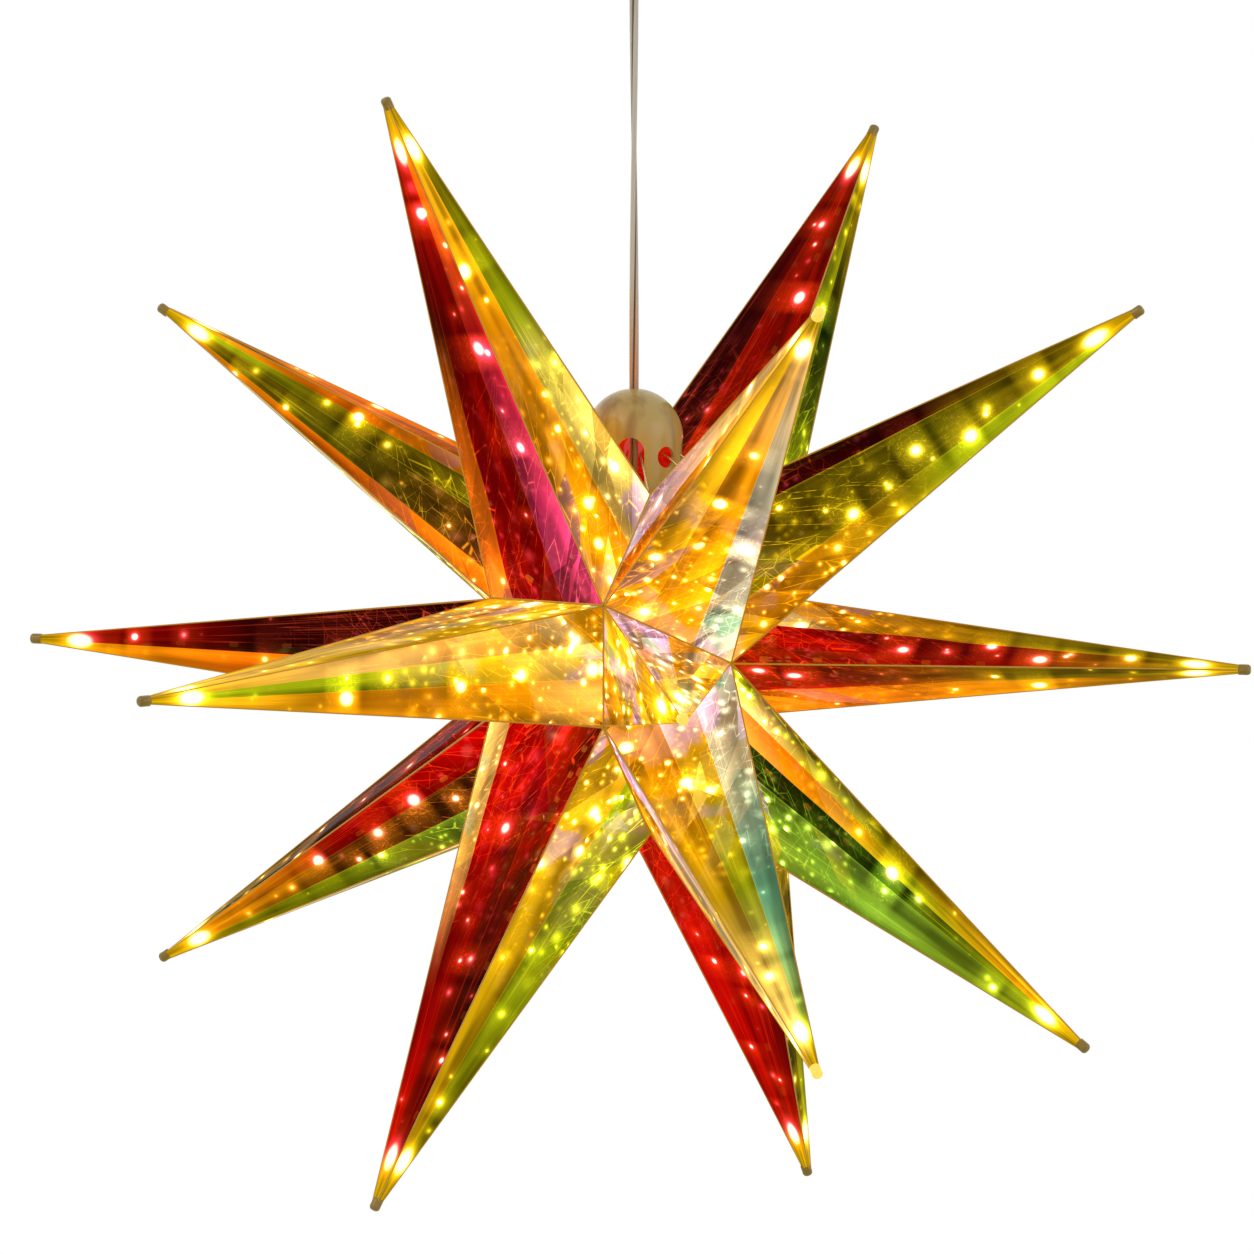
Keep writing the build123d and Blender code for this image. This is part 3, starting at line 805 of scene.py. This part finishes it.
def film_group():
    """Lit film with its light painted in: streaks of painted light and shade that run from the tip,
    crumpled shards at the core with painted shade and sheen, and painted lamp images with halos.
    """
    group = bpy.data.node_groups.new("film_glow", "ShaderNodeTree")
    for name, kind in (("Glow", "Color"), ("Tint", "Color"), ("Streaks", "Float"), ("Along", "Float")):
        group.interface.new_socket(name, in_out="OUTPUT", socket_type=f"NodeSocket{kind}")
    given = group.nodes.new("NodeGroupOutput").inputs
    attribute = group.nodes.new("ShaderNodeVertexColor")
    attribute.layer_name = "film_tint"
    seed = calc(group, "ROUND", times(group, attribute.outputs["Alpha"], seed_steps))
    seed = calc(group, "DIVIDE", seed, seed_steps)
    across, along = film_map(group, "film_place")
    strip_share, near_core = film_map(group, "film_strip")
    tint = mix(group, ramp(group, along, *tip_stretch), film_colours["tip"], attribute.outputs["Color"])
    red, green, blue = channels(group, tint)
    largest = calc(group, "MAXIMUM", calc(group, "MAXIMUM", red, green), 0.03)

    # Streaks fan out from the tip as painted light and shade, each strip lighter towards one side; they
    # also set the roughness and bumps. Thin painted lines of light follow them, and the edges where two
    # strips lap.
    fan = calc(group, "DIVIDE", across, plus(group, along, fan_start))
    broad = film_noise(group, fan, along, seed, broad_streaks)
    fine = film_noise(group, fan, along, seed, fine_streaks)
    light = times(
        group, ramp(group, broad, 0.3, 0.68, 0.4, 1.5), ramp(group, strip_share, 0.0, 1.0, 0.72, 1.2))
    ridge = times(group, thin_line(group, fine, 0.02), ramp(group, broad, 0.4, 0.62, 0.0, 0.35))
    lap = ramp(group, calc(group, "ABSOLUTE", less(group, strip_share, 0.5)), 0.47, 0.5)
    lines = plus(group, ridge, times(group, lap, 0.2))

    # Near the core the film is crumpled into shards, each with painted shade by its slant, a painted sheen
    # and lit borders, and its painted light grows towards the core.
    crease = calc(group, "MULTIPLY_ADD", along, 0.6, across)
    shard_point = film_point(group, crease, along, seed, shard_scales)
    shards = texture_at(group, "ShaderNodeTexVoronoi", shard_point)
    light_chance, sheen_chance, share_chance = channels(group, shards.outputs["Color"])
    lean = joined(group, "SUBTRACT", shards.outputs["Color"], (0.5, 0.5, 0.5))
    from_middle = joined(group, "SUBTRACT", shard_point, shards.outputs["Position"])
    slant = joined(group, "DOT_PRODUCT", from_middle, lean)
    shade = plus(group, times(group, light_chance, light_chance), times(group, slant, 1.5))
    shade = calc(group, "MAXIMUM", calc(group, "MULTIPLY_ADD", shade, 1.1, 0.6), 0.4)
    shade = calc(group, "MULTIPLY_ADD", near_core, less(group, shade, 1.0), 1.0)
    light = times(group, light, shade, ramp(group, along, 0.16, 0.27, 1.0, 1.25))
    sheen_share = times(
        group, near_core, ramp(group, green, 0.06, 0.3, 0.0, 0.6), ramp(group, share_chance, 0.35, 0.7))
    colour = mix(group, sheen_share, tint, sheen_colour(group, sheen_chance))
    # Painted sheen: soft lilac and teal patches on the paler film near the core.
    sheen_patches = film_noise(group, across, along, seed, sheen_patch_scales, output="Color")
    lilac_sheen, teal_sheen, _ = channels(group, sheen_patches)
    pale = times(group, near_core, ramp(group, green, 0.2, 0.36, 0.0, 0.75))
    for name, patch_sheen, limits in (("lilac", lilac_sheen, (0.55, 0.61)), ("teal", teal_sheen, (0.6, 0.65))):
        share = times(group, ramp(group, patch_sheen, *limits), pale)
        colour = mix(group, share, colour, film_colours[name])
    # Painted glints: thin lit lines round the shards and a finer web of them, near the core.
    border = times(
        group, film_glint_lines(group, 0.025, crease, along, seed, border_scales), near_core,
        ramp(group, fine, 0.4, 0.6, 0.1, 1.3))
    web = times(
        group, film_glint_lines(group, 0.02, crease, along, seed, web_scales), near_core,
        ramp(group, broad, 0.42, 0.6, 0.0, 0.8))

    # Painted lamp images: one below the tip, two rows along the wall and a crowd near the core.
    below_tip = ramp(group, along, *row_start)
    large_core, large_halo = place_images(group, across, along, seed, **large_row)
    small_core, small_halo = place_images(group, across, along, plus(group, seed, 3.7), **small_row)
    crowd_core, crowd_halo = crowd_images(group, across, along, seed, **lamp_crowd)
    spark_core, spark_halo = crowd_images(group, across, along, seed, **spark_crowd)
    greyness = calc(group, "DIVIDE", blue, largest)
    crowd_light = times(
        group, near_core, ramp(group, green, 0.1, 0.3, 0.15, 1.4),
        ramp(group, greyness, 0.1, 0.5, 1.0, 0.3))
    tip_along = calc(group, "DIVIDE", less(group, along, tip_lamp_place), tip_lamp_length)
    tip_away = distance(group, tip_along, calc(group, "DIVIDE", across, tip_lamp_width))
    core = plus(
        group, times(group, plus(group, large_core, small_core), below_tip),
        times(group, plus(group, crowd_core, spark_core), crowd_light),
        spot_core(group, tip_away))
    core = times(group, core, core_power)
    halo = plus(
        group, times(group, plus(group, large_halo, small_halo), below_tip),
        times(group, plus(group, crowd_halo, spark_halo), crowd_light),
        spot_halo(group, tip_away, spot_fall))
    crinkle = thin_line(group, film_noise(group, across, along, seed, crinkle_scales), 0.014)
    sparkle = times(group, crinkle, halo, ramp(group, along, 0.04, 0.2, 0.6, 3.0))
    halo = times(group, halo, ramp(group, largest, 0.02, 0.5, 0.8, 1.2))

    # The film's painted glow is in its own hue, the painted lamps in a warmer one. On red film they turn
    # pink.
    hue = tinted(group, tint, calc(group, "DIVIDE", 1.0, largest))
    warm = mix(group, 0.1, hue, lamp_amber)
    bright = mix(group, 0.2, lamp_white, hue)
    red_share = ramp(group, green, 0.01, 0.08, 1.0, 0.0)
    core_tint = mix(group, times(group, red_share, 0.35), warm, lamp_pink)
    glow = tinted(group, colour, light)
    for shine, amount in (
            (warm, plus(group, lines, border, web, halo, sparkle)),
            (core_tint, core),
            (lamp_pink, times(group, ramp(group, halo, 0.5, 1.1, 0.0, 0.6), red_share)),
            (bright, ramp(group, core, 0.6, 2.4, 0.0, 2.0))):
        glow = joined(group, "ADD", glow, tinted(group, shine, amount))
    for name, value in (("Glow", glow), ("Tint", tint), ("Streaks", broad), ("Along", along)):
        connect(group, value, given[name])
    return group


def make_film(name, strength):
    """Thin film in its own tint, with the lamps' light through it painted in as a glow."""
    material, tree, shader = start_finish(name)
    lit = tree.nodes.new("ShaderNodeGroup")
    lit.node_tree = film_glow
    connect(tree, lit.outputs["Glow"], shader.inputs["Emission Color"])
    shader.inputs["Emission Strength"].default_value = strength
    connect(tree, tinted(tree, lit.outputs["Tint"], 0.15), shader.inputs["Base Color"])
    connect(tree, ramp(tree, lit.outputs["Streaks"], 0.3, 0.7, 0.08, 0.2), shader.inputs["Roughness"])
    shader.inputs["IOR"].default_value = film_bending
    bump = tree.nodes.new("ShaderNodeBump")
    bump.inputs["Distance"].default_value = streak_depth
    bump.inputs["Strength"].default_value = 0.4
    connect(tree, lit.outputs["Streaks"], bump.inputs["Height"])
    connect(tree, bump.outputs["Normal"], shader.inputs["Normal"])
    return material, tree, shader, lit


lamp_images = glow_group()
film_glow = film_group()
film_finish, film_tree, film_shader, film_light = make_film("spike_film", 1.0)
film_alpha = ramp(film_tree, film_light.outputs["Along"], 0.1, 0.24, 0.97, 0.87)
connect(film_tree, film_alpha, film_shader.inputs["Alpha"])
film_inside, inside_tree, inside_shader, _ = make_film("film_inside", 0.16)
inside_facing = inside_tree.nodes.new("ShaderNodeNewGeometry")
inside_alpha = less(inside_tree, 1.0, inside_facing.outputs["Backfacing"])
connect(inside_tree, inside_alpha, inside_shader.inputs["Alpha"])
spike_folds = []
for column in columns:
    for row in rows:
        spike_folds.append(build_spike(f"{column}_{row}", len(spike_folds)))


# Film neck: the gathered end of the red film, tucked up inside the dome on its far side.
# It shows through the dome's slots and holes.
dome_low, dome_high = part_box("dome_cap")
neck_radius = 0.4 * (dome_high.x - dome_low.x)
neck_height = 0.62 * (dome_high.z - dome_low.z)
neck_facing = math.radians(137.0)
neck_spread = math.radians(170.0)
neck_steps = 24
neck_seed = 0.4
neck_depth = 0.1
neck_mesh = bmesh.new()
neck_tint = neck_mesh.loops.layers.float_color.new("film_tint")
neck_place = neck_mesh.loops.layers.uv.new("film_place")
neck_strip = neck_mesh.loops.layers.uv.new("film_strip")
neck_start = Vector((neck_radius, 0, dome_low.z))
neck_edge = [neck_mesh.verts.new(neck_start + Vector((0, 0, neck_height * step))) for step in (0, 1)]
neck_side = neck_mesh.edges.new(neck_edge)
neck_turn = Matrix.Rotation(neck_facing - neck_spread / 2, 3, "Z")
bmesh.ops.rotate(neck_mesh, verts=neck_edge, cent=(0, 0, 0), matrix=neck_turn)
bmesh.ops.spin(
    neck_mesh, geom=[neck_side, *neck_edge], cent=(0, 0, 0), axis=(0, 0, 1), angle=neck_spread,
    steps=neck_steps, use_merge=False, use_normal_flip=False, use_duplicate=False)
for face in neck_mesh.faces:
    face.smooth = True
    for loop in face.loops:
        loop[neck_tint] = (*film_colours["scarlet"][:3], neck_seed)
        loop[neck_place].uv = (0.0, neck_depth + dome_high.z - loop.vert.co.z)
        loop[neck_strip].uv = (0.5, 0.0)
film_neck = finish_mesh(neck_mesh, "film_neck", "star", film_finish, film_inside)
neck_thickness = film_neck.modifiers.new("film_thickness", "SOLIDIFY")
neck_thickness.thickness = film_thickness
neck_thickness.material_offset = 1


# Fold lines: where the film is folded, its edge catches the lamps' light, painted in as a thin golden line.
# Each is a slender glowing cone along the fold or along the spike's foot, a painted highlight.
fold_foot_radius = 0.00045
fold_tip_radius = 0.00025
fold_highlight, _, fold_shader = mottled_finish(
    "fold_highlight", paint(190, 138, 20), paint(116, 86, 8), (0.15, 0.3), patch=160.0)
fold_shader.inputs["Emission Color"].default_value = paint(200, 146, 20)
fold_shader.inputs["Emission Strength"].default_value = 0.35
fold_mesh = bmesh.new()
for walls in spike_folds:
    for first_foot, second_foot, _, first_tip in walls.values():
        for start, end, end_radius in (
                (first_foot, first_tip, fold_tip_radius), (first_foot, second_foot, fold_foot_radius)):
            run = end - start
            turned = run.to_track_quat("Z", "Y").to_matrix().to_4x4()
            bmesh.ops.create_cone(
                fold_mesh, cap_ends=True, segments=6, radius1=fold_foot_radius, radius2=end_radius,
                depth=run.length, matrix=Matrix.Translation((start + end) / 2) @ turned)
fold_lines = finish_mesh(fold_mesh, "fold_lines", "star", fold_highlight)


# Tip caps and corner knots: small clear thimbles over the ends of the film, and the clear ties that
# hold the corners of the spikes together round the core.
def make_cap(name, first, second, glow):
    """Clear plastic that is lit from the lamp below it."""
    material, _, shader = mottled_finish(name, first, second, (0.08, 0.2), patch=220.0)
    shader.inputs["Alpha"].default_value = 0.88
    shader.inputs["Emission Color"].default_value = first
    shader.inputs["Emission Strength"].default_value = glow
    return material


cap_plastic = make_cap("clear_cap", paint(150, 122, 18), paint(72, 48, 6), 0.3)
lit_cap_plastic = make_cap("lit_cap", paint(252, 206, 84), paint(214, 150, 34), 0.8)
for column in columns:
    dress(f"tip_caps_{column}", lit_cap_plastic if column == "front_right" else cap_plastic)
for node in ("front_corner_knots", "back_corner_knots", "waist_knots", "top_rim_knots", "low_rim_knots"):
    dress(node, tie_plastic)


# Floor: a plain pale disc below the star, out of the main view, lifted to near white for the camera.
# The white round it comes from the world.
floor_drop = 0.4
floor_radius = 1.4
floor_light = 0.45
floor_mesh = bmesh.new()
floor_place = Matrix.Translation((0, 0, cad_low.z - floor_drop))
bmesh.ops.create_circle(floor_mesh, cap_ends=True, segments=96, radius=floor_radius, matrix=floor_place)
floor_data = bpy.data.meshes.new("floor")
floor_mesh.to_mesh(floor_data)
floor_mesh.free()
floor_paint, floor_tree, floor_shader = mottled_finish(
    "floor_paint", paint(238, 238, 236), paint(244, 244, 242), (0.6, 0.7), patch=3.0)
floor_ray = floor_tree.nodes.new("ShaderNodeLightPath")
floor_lift = calc(floor_tree, "MULTIPLY", floor_ray.outputs["Is Camera Ray"], floor_light)
connect(floor_tree, floor_lift, floor_shader.inputs["Emission Strength"])
floor_shader.inputs["Emission Color"].default_value = paint(240, 240, 238)
floor_data.materials.append(floor_paint)
floor = bpy.data.objects.new("floor", floor_data)
bpy.context.scene.collection.objects.link(floor)


# Light: a soft key from the front, above the star, and a weaker fill from the right.
# An even world lights the rest, and shows as white.
def hang_lamp(name, place, power, size):
    """A square soft light that points at the star's centre."""
    lamp = bpy.data.lights.new(name, "AREA")
    lamp.energy = power
    lamp.size = size
    holder = bpy.data.objects.new(name, lamp)
    holder.location = place
    holder.rotation_euler = (star_centre - Vector(place)).to_track_quat("-Z", "Y").to_euler()
    bpy.context.scene.collection.objects.link(holder)


hang_lamp("key_light", (-0.2, -1.7, 0.9), 9.0, 1.2)
hang_lamp("fill_light", (1.8, 0.6, 0.3), 4.0, 1.2)
world = bpy.data.worlds.new("studio")
bpy.context.scene.world = world
world.use_nodes = True
world_tree = world.node_tree
even_light = world_tree.nodes["Background"]
even_light.inputs["Color"].default_value = (1.0, 1.0, 1.0, 1.0)
even_light.inputs["Strength"].default_value = 0.4
white_view = world_tree.nodes.new("ShaderNodeBackground")
white_view.inputs["Color"].default_value = (1.0, 1.0, 1.0, 1.0)
white_view.inputs["Strength"].default_value = 1.0
ray = world_tree.nodes.new("ShaderNodeLightPath")
seen = calc(world_tree, "MAXIMUM", ray.outputs["Is Camera Ray"], ray.outputs["Is Glossy Ray"])
seen = calc(world_tree, "MAXIMUM", seen, ray.outputs["Is Transmission Ray"])
choice = world_tree.nodes.new("ShaderNodeMixShader")
connect(world_tree, seen, choice.inputs[0])
connect(world_tree, even_light.outputs[0], choice.inputs[1])
connect(world_tree, white_view.outputs[0], choice.inputs[2])
connect(world_tree, choice.outputs[0], world_tree.nodes["World Output"].inputs["Surface"])


# Camera: a long lens a little above the star's centre, to the right of its front.
# The lens and its shift come from the star's place and scale in a square picture.
view_turn = math.radians(47.0)
view_rise = math.radians(4.2)
view_distance = 2.53
image_side = 1254
star_pixel = (634, 656)
focal_pixels = 5163
camera_data = bpy.data.cameras.new("camera")
camera_data.lens = focal_pixels / image_side * camera_data.sensor_width
camera_data.shift_x = (image_side / 2 - star_pixel[0]) / image_side
camera_data.shift_y = (star_pixel[1] - image_side / 2) / image_side
camera = bpy.data.objects.new("camera", camera_data)
level_run = math.cos(view_rise)
backwards = Vector((
    level_run * math.sin(view_turn), -level_run * math.cos(view_turn), math.sin(view_rise)))
camera.location = star_centre + backwards * view_distance
camera.rotation_euler = (-backwards).to_track_quat("-Z", "Y").to_euler()
bpy.context.scene.collection.objects.link(camera)
bpy.context.scene.camera = camera
bpy.context.scene.view_settings.view_transform = "Standard"
